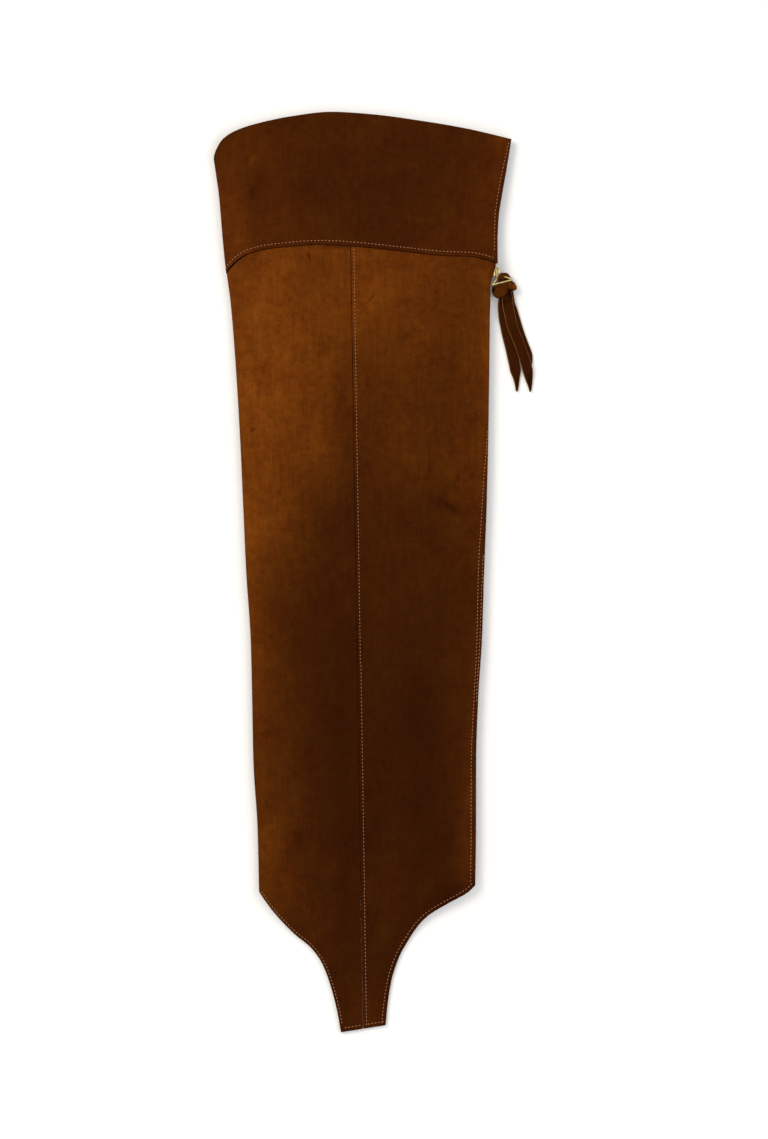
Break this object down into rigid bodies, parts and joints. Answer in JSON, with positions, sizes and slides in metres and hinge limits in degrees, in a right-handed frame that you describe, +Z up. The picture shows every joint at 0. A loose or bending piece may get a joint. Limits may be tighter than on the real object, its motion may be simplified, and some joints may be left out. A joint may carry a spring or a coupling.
{
  "type": "over-the-knee gaiter",
  "caption": "Over-the-knee suede gaiter laid flat, with a knee band, a centre seam, a side zip with a gold puller and thong, and a foot tab that narrows over the instep.",
  "frame": {"origin": "middle of the laid gaiter's box in X and Y, on the surface that it lies on", "axes": "+Y up the leg from the foot tab to the knee band, +X across the laid gaiter towards the zip, +Z up from the surface"},
  "size_m": [0.2366, 0.6821, 0.009],
  "materials": {
    "suede": "napped suede, tobacco brown, brushed light and dark",
    "yoke_suede": "napped suede, a shade darker",
    "thong_suede": "cut suede thong with pale edges",
    "zip_tape": "woven polyester tape, dark brown",
    "gold_metal": "pale gold plate, polished"
  },
  "bodies": {
    "gaiter": {"yoke": "yoke_suede", "shaft_left_and_back": "suede", "shaft_front_right": "suede", "zip_tape_back": "zip_tape", "zip_tape_front": "zip_tape", "zip_chain": "gold_metal", "zip_slider": "gold_metal"},
    "pull": {"pull_ring": "gold_metal", "thong_loop": "thong_suede", "thong_wrap": "thong_suede", "thong_tail_left": "thong_suede", "thong_tail_right": "thong_suede", "thong_tail_under": "thong_suede"}
  },
  "joints": [
    {"name": "pull_swing", "type": "hinge", "parent": "gaiter", "child": "pull", "pos_m": [0.091, 0.2235, 0.0039], "axis": [0, 0, 1], "range_deg": [-3, 95]}
  ]
}
